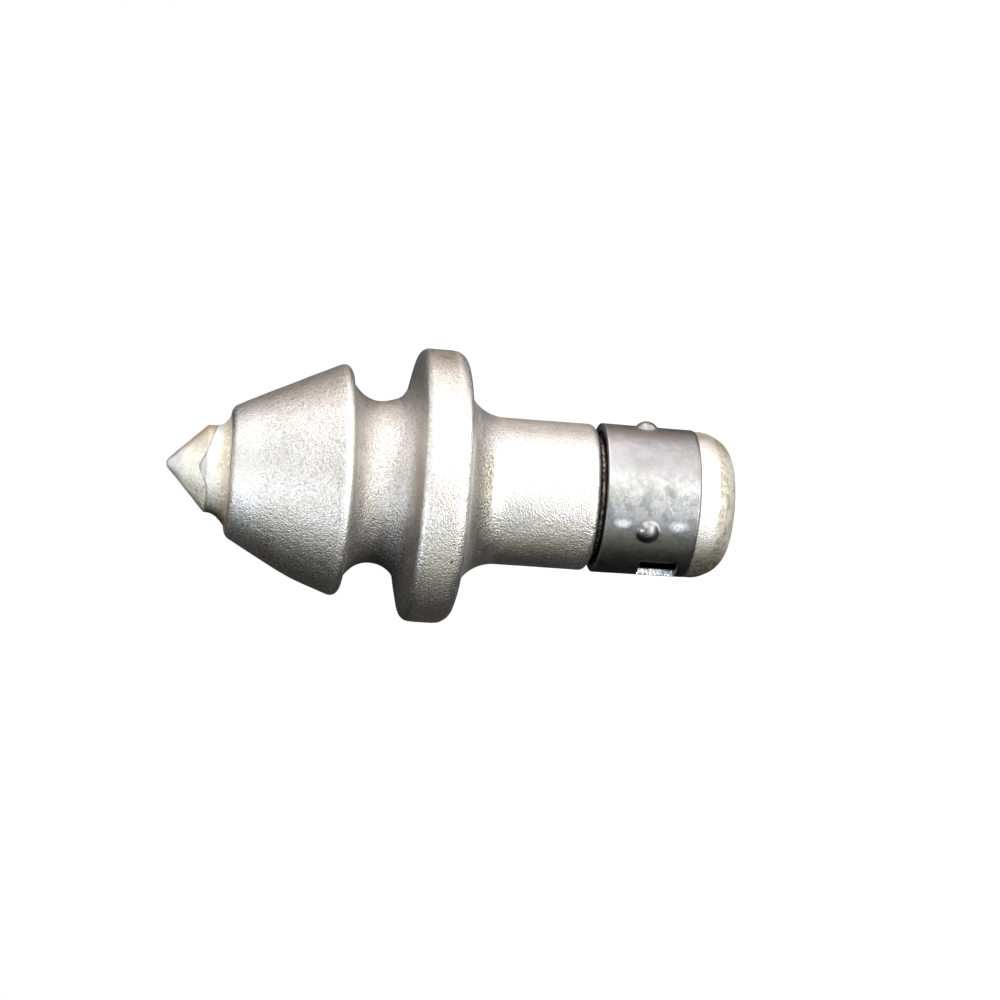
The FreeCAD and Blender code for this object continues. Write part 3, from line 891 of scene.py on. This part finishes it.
def groove_tone(s, tone, grit):
    """The groove's wall by the collar: painted highlight streaks and a painted glint, painted shade at the
    collar's front edge, painted light on the wall, pores, and painted shade low on its side.
    """
    rings = s.noise(0.8, 2.0, 0.6, at=s.stretched(0.3, 0.3, 1.6))
    # Painted highlight streaks on the wall, and a painted glint in the groove.
    streaks = s.times(s.fade(s.x, -8.0, -3.0), s.fade(rings, 0.25, 0.6))
    streaks = s.times(s.between(s.height, *WALL_HIGHLIGHT_BAND, 0.6), streaks)
    tone = s.dab(tone, PAINTED_HIGHLIGHT_WHITE, streaks, s.fade(s.x, 14.0, 6.0, 0.2, 0.6))
    glint = s.times(s.between(s.height, *GROOVE_GLINT, 0.8), s.between(s.x, -8.5, -2.0, 1.5))
    tone = s.dab(tone, PAINTED_HIGHLIGHT_WHITE, glint, s.fade(rings, 0.3, 0.6, 0.05, 0.2))
    # Painted shade, brown, along the collar's front edge.
    edge = s.times(s.between(s.height, *COLLAR_FRONT_EDGE, 0.4), s.between(s.x, -13.0, 6.0, 3.0))
    tone = s.dab(tone, EDGE_PAINTED_SHADE, edge, s.fade(s.x, 2.0, -4.0, 0.5, 0.75))
    # Painted light on the groove's wall.
    tone = s.dab(tone, WALL_PAINTED_LIGHT, s.between(s.height, *WALL, 0.4), 0.25)
    pores = s.times(s.between(s.height, *WALL_PORES, 0.4), s.fade(grit, 0.42, 0.60, 1.0, 0.0))
    tone = s.dab(tone, PORE_BROWN, pores, 0.3)
    # Painted shade low on the wall's side, with a leaning edge.
    leaning = s.plus(s.height, s.times(s.x, SHADE_EDGE_SLOPE))
    low_side = s.times(s.fade(s.height, 64.9, 65.7), s.fade(s.x, -4.5, -11.0))
    return s.dab(tone, GROOVE_PAINTED_SHADE, s.fade(leaning, 71.8, 70.2), low_side, 0.5)


def steel_tone(s, grit):
    """Warm grey with a brown cast, darker in the grit's valleys, and then the tone of each region, mostly
    painted light and shade.
    """
    broad = s.noise(7.0, 3.0, 0.55)
    tone = s.mix(s.fade(broad, 0.35, 0.7), STEEL_PALE, STEEL_BROWN)
    tone = s.dab(tone, STEEL_VALLEY, s.fade(grit, 0.34, 0.56, 1.0, 0.0), 0.5)
    tone = hollow_tone(s, tone, grit)
    tone = head_tone(s, tone)
    tone = shank_and_collar_tone(s, tone)
    return groove_tone(s, tone, grit)


def knob_tone(s, tone, knob, knob_end, mottle):
    """A lighter ring by the sleeve, a mottled tan end with cream painted light on its rim, and painted shade
    on the underside.
    """
    tone = s.dab(tone, KNOB_GREY, knob, 0.6)
    tone = s.dab(tone, s.mix(mottle, KNOB_END_DARK, KNOB_END_TAN), knob_end, 0.85)
    # Painted light, cream, on the end's rim.
    tone = s.dab(tone, KNOB_RIM_PAINTED_LIGHT, s.fade(s.height, 3.0, 1.2), s.fade(mottle, 0.0, 1.0, 0.55, 0.85))
    # Painted shade on the knob's underside, mottled dark to tan.
    low = s.mix(mottle, KNOB_UNDERSIDE_SHADE_DARK, KNOB_UNDERSIDE_SHADE_TAN)
    return s.dab(tone, low, knob, s.fade(s.x, -6.5, -13.0, 0.0, 0.8))


def neck_tone(s, tone):
    """The neck never sees the blast: dull copper-brown scale, with painted black shadow inside the sleeve.
    """
    scale = s.mix(s.fade(s.noise(0.9, 3.0, 0.6), 0.4, 0.65), SCALE_DARK, SCALE_COPPER)
    # Painted shadow: the neck turns black where the sleeve covers it.
    scale = s.mix(s.fade(s.height, *SLEEVE_SHADOW_EDGE), scale, SLEEVE_SHADOW_BLACK)
    return s.mix(s.between(s.height, NECK_START, NECK_END - 0.25, 0.06), tone, scale)


def handling_marks(s, tone, normal, ragged):
    """Scratches, a crease on the head and a line round the collar, both darkened with painted shade and
    dented by the bump, and one pit.
    """
    for start, end, width in STEEL_SCRATCHES:
        scratch = s.stroke(ragged, start, end, width)
        tone = s.dab(tone, SCRATCH_PALE, scratch, 0.7)
        normal = s.bump(scratch, -SCRATCH_DEPTH, normal)
    collar_line = s.times(s.between(s.height, *COLLAR_LINE, 0.12), s.fade(s.x, 6.0, -2.0))
    crease = s.calc("MAXIMUM", s.stroke(ragged, *HEAD_CREASE), s.times(collar_line, 0.8))
    # Painted shade along the head's crease and the collar's line.
    tone = s.dab(tone, CREASE_PAINTED_SHADE, crease, 0.35)
    tone = s.dab(tone, PIT_BLACK, s.near(ragged, *STEEL_PIT))
    return tone, s.bump(crease, -CREASE_DEPTH, normal)


def forged_steel():
    """Shot-blasted steel: strong fine grit, brown hollows that are partly painted shade, worn rims, a few
    handling marks, and painted light and shade on several regions.
    """
    s = Shader("forged_steel")
    fine = s.noise(0.34, 1.2, 0.6)
    grit = s.noise(0.62, 2.0, 0.55)
    swell = s.noise(1.5, 2.0, 0.5)
    ragged = s.frayed(0.5, 0.25)
    mottle = s.fade(s.blend(0.5, grit, swell), 0.42, 0.56)
    worn = s.times(s.value("wear"), s.fade(s.noise(1.2, 3.0), 0.35, 0.6))
    knob = s.fade(s.height, NECK_START - 0.2, NECK_START - 0.4)
    wavy_height = s.plus(s.height, s.times(swell, 0.6))
    knob_end = s.fade(wavy_height, KNOB_END_EDGE + 0.3, KNOB_END_EDGE - 0.5)

    tone = steel_tone(s, s.blend(0.5, fine, grit))
    tone = s.dab(tone, STEEL_WORN, worn, 0.5)
    tone = knob_tone(s, tone, knob, knob_end, mottle)
    for spot, reach, soft in TAN_SPOTS:
        tone = s.dab(tone, SPOT_TAN, s.near(ragged, spot, reach, soft), 0.6)
    tone = neck_tone(s, tone)

    relief = s.blend(0.42, fine, s.blend(0.3, grit, swell))
    relief = s.blend(s.times(knob, 0.15), relief, 0.5)
    coarser = s.blend(s.between(s.height, *GROOVE, 0.4), 1.0, 1.4)
    normal = s.bump(s.times(relief, coarser), STEEL_RELIEF)
    tone, normal = handling_marks(s, tone, normal, ragged)

    roughness = s.blend(worn, s.fade(fine, 0.2, 0.8, 0.34, 0.46), 0.34)
    roughness = s.blend(knob, roughness, 0.5)
    metallic = s.minus(s.blend(knob, 1.0, 0.93), s.times(knob_end, 0.08))
    return s.finish(tone, roughness, metallic, normal)


# Hard-metal point

FLUX_CREAM = (0.66, 0.645, 0.59)
FLUX_OCHRE = (0.61, 0.57, 0.48)
FLUX_GOLD = (0.42, 0.33, 0.22)
FLUX_OLIVE = (0.38, 0.35, 0.25)
FLUX_WRINKLE = (0.17, 0.14, 0.10)
BARE_PALE = (0.57, 0.56, 0.54)
BARE_GREY = (0.50, 0.49, 0.47)
UPPER_EDGE_PAINTED_SHADE = (0.22, 0.165, 0.115)
LOWER_EDGE_PAINTED_SHADE = (0.085, 0.075, 0.055)
FLUX_RELIEF = 0.09


def flux_coated_carbide():
    """Bare grey point, then cream brazing flux, golden above and olive with fine wrinkles below, with
    painted shade along its upper and lower edges.
    """
    s = Shader("carbide")
    blotch = s.noise(2.0, 3.0, 0.6)
    fine = s.noise(0.45, 2.0, 0.6)
    ragged_height = s.plus(s.height, s.times(s.minus(blotch, 0.5), 2.2))
    bare = s.fade(ragged_height, 111.6, 113.6)
    above = s.fade(s.x, 2.0, 6.5)
    below = s.fade(s.x, 0.0, -5.5)
    upper_edge = s.fade(s.upward(), 0.78, 0.99)
    lower_edge = s.fade(s.upward(), -0.80, -0.98)
    wrinkles = s.fade(s.noise(0.55, 2.0, 0.6, at=s.stretched(1.0, 1.0, 0.45), warp=0.8), 0.5, 0.64)

    tone = s.mix(s.fade(blotch, 0.4, 0.65), FLUX_CREAM, FLUX_OCHRE)
    tone = s.dab(tone, FLUX_GOLD, above, 0.6)
    tone = s.dab(tone, FLUX_OLIVE, below, 0.3)
    tone = s.dab(tone, FLUX_WRINKLE, wrinkles, s.blend(below, 0.2, 0.75))
    tone = s.dab(tone, s.mix(s.fade(blotch, 0.4, 0.6), BARE_PALE, BARE_GREY), bare)
    # Painted shade, brown, along the point's upper and lower edges.
    tone = s.dab(tone, UPPER_EDGE_PAINTED_SHADE, upper_edge, 0.7)
    tone = s.dab(tone, LOWER_EDGE_PAINTED_SHADE, lower_edge, 0.6)

    roughness = s.blend(bare, s.fade(fine, 0.3, 0.7, 0.4, 0.55), 0.48)
    metallic = s.blend(bare, 0.25, 0.7)
    normal = s.bump(s.blend(s.times(below, 0.6), fine, wrinkles), FLUX_RELIEF)
    return s.finish(tone, roughness, metallic, normal)


# Braze

BRAZE_CREAM = (0.63, 0.62, 0.575)
BRAZE_OCHRE = (0.60, 0.57, 0.50)
GOLD_BRIGHT = (0.68, 0.61, 0.49)
GOLD_DEEP = (0.42, 0.33, 0.215)
LOW_GOLD = (0.46, 0.38, 0.24)
LOW_BROWN = (0.13, 0.10, 0.055)
BRAZE_UNDERSIDE_SHADE = (0.02, 0.015, 0.01)
LENS_PAINTED_SHADE = (0.47, 0.47, 0.455)
SEAM_BROWN = (0.30, 0.235, 0.18)
BRIM_PAINTED_SHADE = (0.17, 0.16, 0.145)
BRAZE_SHADE_SPOT = ((0.1, -8.3, 107.7), 0.6, 1.0)
BRAZE_RELIEF = 0.16


def braze_metal():
    """Cream and gold braze, crinkled at the head, with painted shade along its upper edge where it ends on
    the point, in a hollow beside the tongue and on its underside.
    """
    s = Shader("braze")
    climb = s.value("climb")
    blotch = s.noise(1.6, 3.0, 0.6)
    fine = s.noise(0.42, 2.0, 0.6)
    crinkle = s.cells(0.85, 0.4, s.frayed(0.6, 0.8))
    foot = s.fade(s.plus(climb, s.times(blotch, 0.3)), 0.72, 0.35)
    seam = s.fade(s.plus(climb, s.times(blotch, 0.10)), 0.16, 0.08)
    brim = s.fade(s.plus(climb, s.times(fine, 0.06)), 0.90, 0.975)
    below = s.fade(s.upward(), -0.35, -0.95)
    squeezed = s.vector("MULTIPLY", s.frayed(0.7, 0.7), (0.55, 1.0, 1.0))
    lens = s.near(squeezed, *BRAZE_SHADE_SPOT)

    tone = s.mix(s.fade(blotch, 0.4, 0.62), BRAZE_CREAM, BRAZE_OCHRE)
    tone = s.dab(tone, s.mix(s.fade(crinkle, 0.15, 0.5), GOLD_BRIGHT, GOLD_DEEP), foot, 0.75)
    tone = s.dab(tone, s.mix(s.fade(crinkle, 0.2, 0.5), LOW_GOLD, LOW_BROWN), below, 0.6)
    # Painted shade, near black, on the underside.
    tone = s.dab(tone, BRAZE_UNDERSIDE_SHADE, s.fade(s.upward(), -0.70, -0.98), 0.85)
    # Painted shade in the hollow beside the tongue.
    tone = s.dab(tone, LENS_PAINTED_SHADE, lens, 0.85)
    tone = s.dab(tone, SEAM_BROWN, seam, 0.6)
    # Painted shade along the bead's upper edge.
    tone = s.dab(tone, BRIM_PAINTED_SHADE, brim, s.blend(lens, s.fade(blotch, 0.3, 0.6, 0.45, 0.75), 0.0))

    wrinkled = s.calc("MAXIMUM", s.times(foot, 0.7), s.times(below, 0.7))
    normal = s.bump(s.blend(wrinkled, fine, s.minus(1.0, crinkle)), BRAZE_RELIEF)
    return s.finish(tone, s.fade(fine, 0.3, 0.7, 0.36, 0.5), 0.4, normal)


# Spring steel

OXIDE_PALE = (0.34, 0.33, 0.34)
OXIDE_DARK = (0.27, 0.27, 0.265)
# Painted sheen
SHEEN_PAINTED_GREY = (0.48, 0.49, 0.47)
SCUFF_DARK = (0.11, 0.12, 0.115)
SPECK_PALE = (0.45, 0.46, 0.44)
SLEEVE_UNDERSIDE_SHADE = (0.10, 0.10, 0.095)
DIMPLE_SHADOW_DARK = (0.05, 0.055, 0.055)
GLINT_WHITE = (0.92, 0.95, 0.92)
UPPER_END_PAINTED_LIGHT = (0.55, 0.54, 0.55)
RUB_DARK = (0.13, 0.13, 0.12)
SLEEVE_SCRATCH_PALE = (0.58, 0.59, 0.54)
TORN_DARK = (0.16, 0.17, 0.19)
TORN_BRIGHT = (0.80, 0.82, 0.86)
LOWER_EDGE_DARK = (0.16, 0.165, 0.17)
SHEARED_GREY = (0.28, 0.28, 0.285)
SLEEVE_RELIEF = 0.07

SLEEVE_SCRATCH = ((3.2, -14.85, 17.0), (-2.2, -15.05, 13.8), 0.30)
SLEEVE_RUB = ((2.9, -15.0, 15.4), (1.4, -15.1, 14.2), 1.0)
# Painted shadow beside the front dimple: place, reach, softness
DIMPLE_SHADOW_SPOT = ((-7.3, -14.2, 19.8), 0.9, 1.0)
SLEEVE_GLINTS = (
    ((-4.8, -14.45, 23.9), 0.8, 1.8),
    ((-4.8, -14.45, 12.5), 0.9, 1.9),
    ((-5.9, -14.8, 20.0), 0.35, 0.6),
)
GLINT_SQUEEZE = 0.55


def scuffed_tone(s, tone, blotch, cloud, speck):
    """A painted sheen band, then scuffs and specks on the lower half, and painted shade on the underside."""
    below = s.fade(s.x, 5.0, 0.0)
    # Painted sheen: a light band along the sleeve.
    sheen_band = s.times(s.fade(cloud, 0.42, 0.62), s.between(s.x, -2.0, 5.5, 1.5))
    tone = s.dab(tone, SHEEN_PAINTED_GREY, sheen_band, 0.4)
    scuffs = s.times(s.fade(s.blend(0.4, blotch, cloud), 0.47, 0.60), below)
    tone = s.dab(tone, SCUFF_DARK, scuffs, 0.6)
    tone = s.dab(tone, SPECK_PALE, s.fade(speck, 0.55, 0.72), s.times(below, 0.5))
    # Painted shade on the sleeve's underside.
    return s.dab(tone, SLEEVE_UNDERSIDE_SHADE, s.fade(s.x, 0.5, -7.5), 0.6)


def sleeve_marks(s, tone, speck):
    """Painted shadow beside a dimple, painted smears of light by the dimples, painted light on the upper
    end, a rubbed patch and a scratch.
    """
    # Painted shadow beside the front dimple.
    tone = s.dab(tone, DIMPLE_SHADOW_DARK, s.near(s.frayed(0.8, 0.5), *DIMPLE_SHADOW_SPOT), 0.75)
    glints = s.fade(speck, 0.1, 0.55)
    for (x, y, height), reach, soft in SLEEVE_GLINTS:
        place = s.vector("MULTIPLY", s.frayed(0.8, 0.9), (1.0, 1.0, GLINT_SQUEEZE))
        smear = s.near(place, (x, y, height * GLINT_SQUEEZE), reach * 0.3, soft * 0.6)
        tone = s.dab(tone, GLINT_WHITE, smear, s.times(glints, 0.6))
    # Painted light on the sleeve's upper end, on its top side.
    upper_end = s.times(s.fade(s.height, 20.5, 24.5), s.fade(s.x, -1.0, 3.0))
    tone = s.dab(tone, UPPER_END_PAINTED_LIGHT, upper_end, 0.15)
    tone = s.dab(tone, RUB_DARK, s.stroke(s.frayed(0.8, 0.8), *SLEEVE_RUB), 0.55)
    return s.dab(tone, SLEEVE_SCRATCH_PALE, s.stroke(s.frayed(1.2, 0.9), *SLEEVE_SCRATCH), 0.5)


def spring_steel():
    """Dark hardened strip: smooth oxide above with a painted sheen, scuffed below with painted shade, torn
    bright where it was punched.
    """
    s = Shader("spring_steel")
    blotch = s.noise(2.8, 4.0, 0.62)
    cloud = s.noise(1.3, 3.0, 0.6)
    speck = s.noise(0.45, 2.0, 0.6)
    cut = s.value("cut")

    tone = s.mix(s.fade(blotch, 0.36, 0.64), OXIDE_PALE, OXIDE_DARK)
    tone = scuffed_tone(s, tone, blotch, cloud, speck)
    tone = sleeve_marks(s, tone, speck)
    tone = s.dab(tone, LOWER_EDGE_DARK, s.fade(s.height, 9.5, 8.7, 0.0, 0.4))
    tone = s.dab(tone, SHEARED_GREY, s.fade(cut, 0.2, SHEARED_EDGE))
    streaks = s.noise(0.42, 3.0, 0.7, at=s.stretched(0.6, 0.6, 1.0), warp=0.6)
    torn = s.mix(s.fade(streaks, 0.40, 0.58), TORN_DARK, TORN_BRIGHT)
    tone = s.dab(tone, torn, s.fade(cut, 0.5, 0.8))

    roughness = s.fade(blotch, 0.3, 0.7, 0.34, 0.44)
    normal = s.bump(s.blend(0.5, speck, cloud), SLEEVE_RELIEF)
    return s.finish(tone, roughness, 1.0, normal)


def floor_paint():
    """Pale floor that stays white under the camera and only takes a faint shadow."""
    s = Shader("floor_paint")
    glow = s.node("ShaderNodeEmission", {"Color": (1.0, 1.0, 1.0, 1.0), "Strength": 1.0})
    matt = s.node("ShaderNodeBsdfDiffuse", {"Color": (0.12, 0.12, 0.12, 1.0)})
    both = s.node("ShaderNodeAddShader", {0: glow.outputs[0], 1: matt.outputs[0]})
    s.node("ShaderNodeOutputMaterial", {"Surface": both.outputs[0]})
    return s.material


# Camera, floor and lights

TOWARD_CAMERA = Vector((0.0, -math.cos(VIEW_LIFT), math.sin(VIEW_LIFT)))
POINT_WAYS = Vector((0.0, math.sin(VIEW_LIFT), math.cos(VIEW_LIFT)))
PICTURE_UP = Vector((1.0, 0.0, 0.0)) * math.cos(VIEW_ROLL) + POINT_WAYS * math.sin(VIEW_ROLL)
PICTURE_RIGHT = PICTURE_UP.cross(TOWARD_CAMERA)
LIT_CENTRE = Vector((0.0, 0.0, 0.06))
FLOOR_REACH = 30.0
LAMP_DISTANCE = 0.75
LAMP_WIDTH = 0.42
LAMP_LENGTH = 0.5


def add_camera():
    data = bpy.data.cameras.new("photo_camera")
    data.sensor_width = SENSOR_WIDTH
    data.lens = FOCAL_PIXELS / PICTURE_PIXELS * SENSOR_WIDTH
    data.clip_start = 0.01
    camera = bpy.data.objects.new("photo_camera", data)
    axes = Matrix((PICTURE_RIGHT, PICTURE_UP, TOWARD_CAMERA)).transposed().to_4x4()
    axes.translation = VIEW_TARGET + TOWARD_CAMERA * VIEW_DISTANCE
    camera.matrix_world = axes
    bpy.context.scene.collection.objects.link(camera)
    bpy.context.scene.camera = camera


def add_floor():
    """Wide floor that the lamps don't see."""
    reach = FLOOR_REACH
    corners = [(-reach, -reach, 0), (reach, -reach, 0), (reach, reach, 0), (-reach, reach, 0)]
    mesh = bpy.data.meshes.new("floor")
    mesh.from_pydata(corners, [], [(0, 1, 2, 3)])
    floor = bpy.data.objects.new("floor", mesh)
    bpy.context.scene.collection.objects.link(floor)
    mesh.materials.append(floor_paint())
    floor.visible_glossy = False
    floor.visible_diffuse = False
    floor.visible_shadow = False


def add_world():
    """White seen by the camera alone, so that only the lamps light the tooth."""
    world = bpy.data.worlds.new("white_world")
    bpy.context.scene.world = world
    world.use_nodes = True
    background = world.node_tree.nodes["Background"]
    background.inputs["Color"].default_value = (1.0, 1.0, 1.0, 1.0)
    background.inputs["Strength"].default_value = 1.0
    world.cycles_visibility.diffuse = False
    world.cycles_visibility.glossy = False
    world.cycles_visibility.transmission = False
    world.cycles_visibility.scatter = False


def add_softbox(rise, lean, radiance, colour):
    """Area lamp, turned from the camera by rise towards the picture's top and by lean towards the point."""
    up, side = math.radians(rise), math.radians(lean)
    way = (TOWARD_CAMERA * math.cos(up) + PICTURE_UP * math.sin(up)) * math.cos(side)
    way -= PICTURE_RIGHT * math.sin(side)
    data = bpy.data.lights.new("softbox", "AREA")
    data.shape = "RECTANGLE"
    data.size = LAMP_LENGTH
    data.size_y = LAMP_WIDTH
    data.energy = radiance * math.pi * LAMP_WIDTH * LAMP_LENGTH
    data.color = colour
    lamp = bpy.data.objects.new("softbox", data)
    back = way.normalized()
    right = (PICTURE_RIGHT - back * PICTURE_RIGHT.dot(back)).normalized()
    axes = Matrix((right, back.cross(right), back)).transposed().to_4x4()
    axes.translation = LIT_CENTRE + back * LAMP_DISTANCE
    lamp.matrix_world = axes
    lamp.visible_camera = False
    bpy.context.scene.collection.objects.link(lamp)


# Softboxes: rise, lean, radiance, colour
LAMPS = (
    (-60, 0, 0.70, (1.01, 1.02, 0.78)),
    (-30, 0, 1.64, (0.91, 0.99, 1.14)),
    (0, 0, 0.71, (1.00, 0.96, 0.98)),
    (30, 0, 4.38, (0.98, 1.01, 1.02)),
    (60, 0, 3.34, (1.03, 1.01, 1.03)),
    (90, 0, 3.25, (1.04, 1.00, 1.01)),
    (120, 0, 0.51, (1.20, 0.95, 0.74)),
    (-30, 45, 3.65, (0.94, 1.01, 1.10)),
    (10, 45, 0.80, (0.99, 0.99, 1.06)),
    (50, 45, 1.26, (0.83, 1.02, 1.15)),
    (90, 45, 2.56, (1.00, 0.99, 0.97)),
    (-30, -45, 5.28, (0.99, 1.01, 1.00)),
    (10, -45, 5.27, (1.02, 1.02, 0.98)),
    (50, -45, 2.95, (1.03, 1.01, 0.97)),
    (90, -45, 2.87, (1.03, 0.99, 0.99)),
    (0, 78, 1.82, (1.03, 1.01, 0.93)),
    (60, -78, 0.68, (0.95, 0.97, 0.96)),
)


def add_lights():
    for rise, lean, radiance, colour in LAMPS:
        add_softbox(rise, lean, radiance, colour)


def set_view():
    scene = bpy.context.scene
    scene.view_settings.view_transform = "Standard"
    scene.view_settings.look = "None"
    scene.view_settings.exposure = 0.0
    scene.view_settings.gamma = 1.0


def dress(piece, material, node, body):
    """Gives a piece its material and its place in the part."""
    piece.data.materials.append(material)
    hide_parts(node)
    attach(piece, body)


add_camera()
set_view()
add_world()
add_floor()
add_lights()
dress(make_tooth_body(), forged_steel(), "tooth_body", "tooth")
dress(make_tip(), flux_coated_carbide(), "carbide_tip", "tooth")
dress(make_bead(), braze_metal(), "braze_joint", "tooth")
dress(make_sleeve(), spring_steel(), "retainer_sleeve", "retainer")
